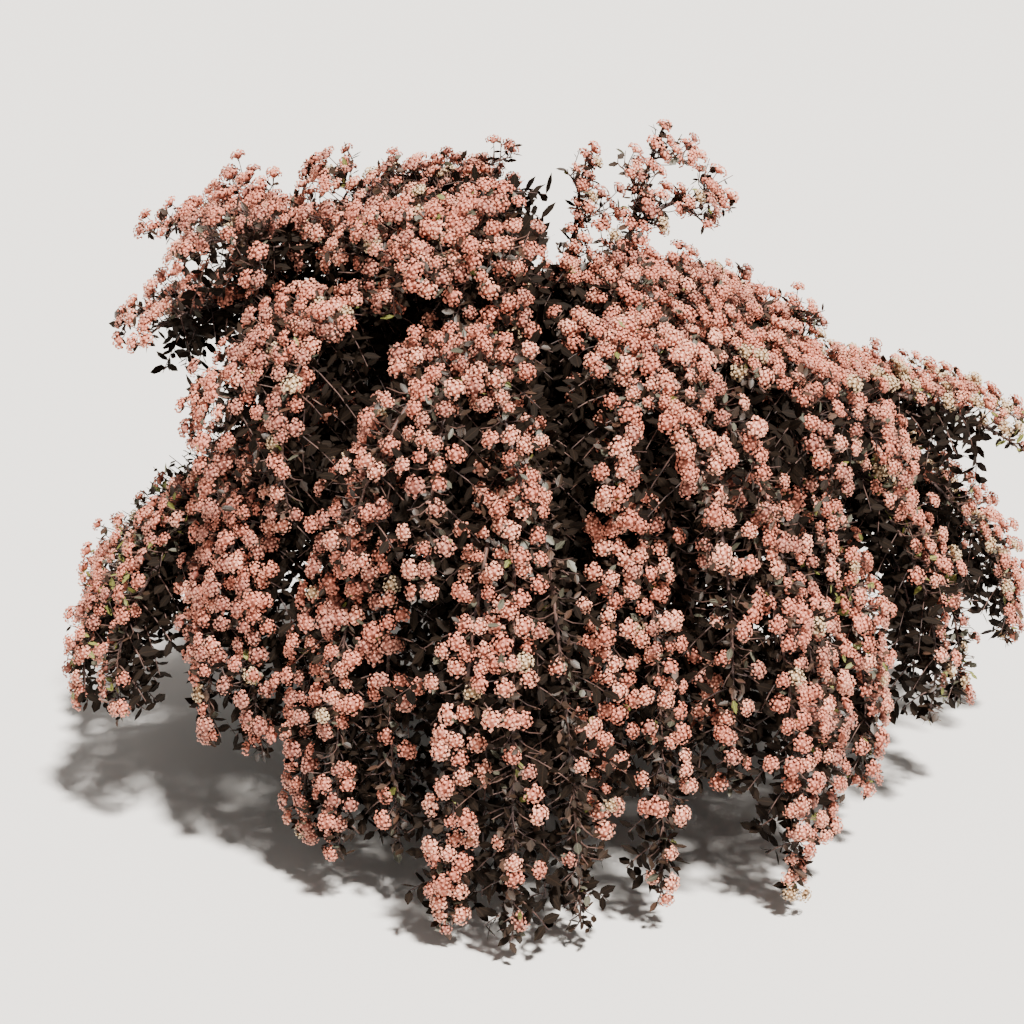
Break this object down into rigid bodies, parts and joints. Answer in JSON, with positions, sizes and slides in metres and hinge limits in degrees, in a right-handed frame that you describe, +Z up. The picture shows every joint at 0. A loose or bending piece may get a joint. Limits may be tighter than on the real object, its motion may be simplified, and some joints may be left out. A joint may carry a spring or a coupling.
{
  "type": "ninebark shrub",
  "caption": "Mounded, many-stemmed flowering shrub whose arching boughs carry hanging sprays of leaves and domed blossom heads; flat cut under its woody foot.",
  "frame": {"origin": "centre of the flat cut under the woody foot, at ground level", "axes": "+Z up; +X towards the side of the longest reach, which is the right of the picture; -Y towards the viewer"},
  "size_m": [1.9414, 1.6145, 1.2798],
  "materials": {
    "bark": "rough, grey-brown peeling bark",
    "blossoming_spray": "salmon-pink blossom over purple-black leaves"
  },
  "bodies": {
    "root": {"bough_crown_01": "bark", "bough_crown_02": "bark", "bough_crown_03": "bark", "bough_crown_04": "bark", "bough_crown_05": "bark", "bough_shoulder_01": "bark", "bough_shoulder_02": "bark", "bough_shoulder_03": "bark", "bough_shoulder_04": "bark", "bough_shoulder_05": "bark", "bough_shoulder_06": "bark", "bough_shoulder_07": "bark", "bough_shoulder_08": "bark", "bough_shoulder_09": "bark", "bough_skirt_01": "bark", "bough_skirt_02": "bark", "bough_skirt_03": "bark", "bough_skirt_04": "bark", "bough_skirt_05": "bark", "bough_skirt_06": "bark", "bough_skirt_07": "bark", "bough_skirt_08": "bark", "bough_skirt_09": "bark", "bough_skirt_10": "bark", "bough_skirt_11": "bark", "bough_skirt_12": "bark", "bough_skirt_13": "bark", "bough_skirt_14": "bark", "bough_skirt_15": "bark", "spray_crown_01": "blossoming_spray", "spray_crown_02": "blossoming_spray", "spray_crown_03": "blossoming_spray", "spray_crown_04": "blossoming_spray", "spray_crown_05": "blossoming_spray", "spray_shoulder_01": "blossoming_spray", "spray_shoulder_02": "blossoming_spray", "spray_shoulder_03": "blossoming_spray", "spray_shoulder_04": "blossoming_spray", "spray_shoulder_05": "blossoming_spray", "spray_shoulder_06": "blossoming_spray", "spray_shoulder_07": "blossoming_spray", "spray_shoulder_08": "blossoming_spray", "spray_shoulder_09": "blossoming_spray", "spray_skirt_01": "blossoming_spray", "spray_skirt_02": "blossoming_spray", "spray_skirt_03": "blossoming_spray", "spray_skirt_04": "blossoming_spray", "spray_skirt_05": "blossoming_spray", "spray_skirt_06": "blossoming_spray", "spray_skirt_07": "blossoming_spray", "spray_skirt_08": "blossoming_spray", "spray_skirt_09": "blossoming_spray", "spray_skirt_10": "blossoming_spray", "spray_skirt_11": "blossoming_spray", "spray_skirt_12": "blossoming_spray", "spray_skirt_13": "blossoming_spray", "spray_skirt_14": "blossoming_spray", "spray_skirt_15": "blossoming_spray", "stool": "bark"}
  },
  "joints": []
}
